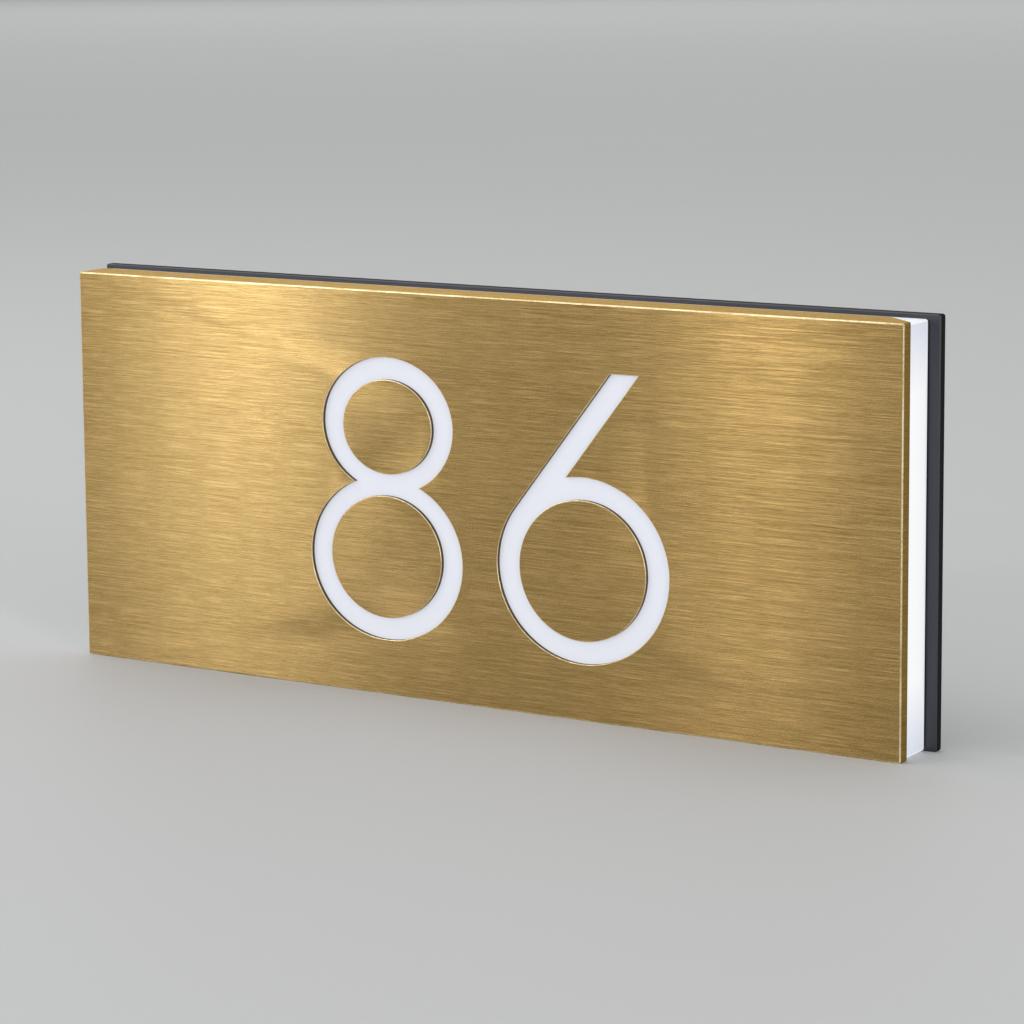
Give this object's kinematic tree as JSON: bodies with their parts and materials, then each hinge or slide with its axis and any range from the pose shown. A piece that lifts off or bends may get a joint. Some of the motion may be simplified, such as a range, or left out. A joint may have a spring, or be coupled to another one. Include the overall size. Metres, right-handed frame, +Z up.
{
  "type": "illuminated house number sign",
  "caption": "Wall-mounted backlit house number sign: brushed brass tray with cut-through numerals over an opal light box on a black plate.",
  "frame": {"origin": "middle of the sign's width and depth, at the level of its bottom edge", "axes": "+X to the right along the width as seen from the front, +Y from the front face to the wall, +Z up"},
  "size_m": [0.357, 0.025, 0.151],
  "materials": {
    "brushed_brass": "fine horizontal brushing, clear lacquer, golden, faces and cut edges",
    "bonding_film": "clear to milky double-sided film",
    "opal_housing": "opal white plastic, satin, lit evenly from inside",
    "foam_seal": "closed-cell foam, matt black",
    "black_plate": "satin black coating on sheet",
    "white_reflector": "matt white sheet",
    "led_board": "white solder mask with copper pads",
    "led_emitter": "yellow phosphor in a white frame",
    "resistor_body": "black film on a ceramic body",
    "steel_screw": "zinc-plated steel",
    "lead_red": "red insulation",
    "lead_black": "black insulation",
    "terminal_body": "moulded polyamide, off-white",
    "terminal_clamp": "nickel-plated brass",
    "grommet_rubber": "black rubber",
    "bracket_steel": "bent zinc-plated strip"
  },
  "bodies": {
    "root": {"face_tray": "brushed_brass", "island_eight_upper": "brushed_brass", "island_eight_lower": "brushed_brass", "island_six": "brushed_brass", "face_film": "bonding_film", "island_films": "bonding_film", "diffuser_shell": "opal_housing", "rim_gasket": "foam_seal", "back_plate": "black_plate", "reflector_sheet": "white_reflector", "led_bar_bottom": "led_board", "led_bar_lower": "led_board", "led_bar_upper": "led_board", "led_bar_top": "led_board", "led_chips_bottom": "led_emitter", "led_chips_lower": "led_emitter", "led_chips_upper": "led_emitter", "led_chips_top": "led_emitter", "bar_resistors": "resistor_body", "bar_screws": "steel_screw", "jumper_leads_positive": "lead_red", "jumper_leads_negative": "lead_black", "feed_lead_positive": "lead_red", "feed_lead_negative": "lead_black", "terminal_block": "terminal_body", "terminal_clamps": "terminal_clamp", "terminal_screws": "steel_screw", "terminal_mount_screw": "steel_screw", "cable_grommet": "grommet_rubber", "top_hooks": "bracket_steel", "hook_screws": "steel_screw", "lock_brackets": "bracket_steel", "lock_bracket_screws": "steel_screw", "lock_screws": "steel_screw"}
  },
  "joints": []
}
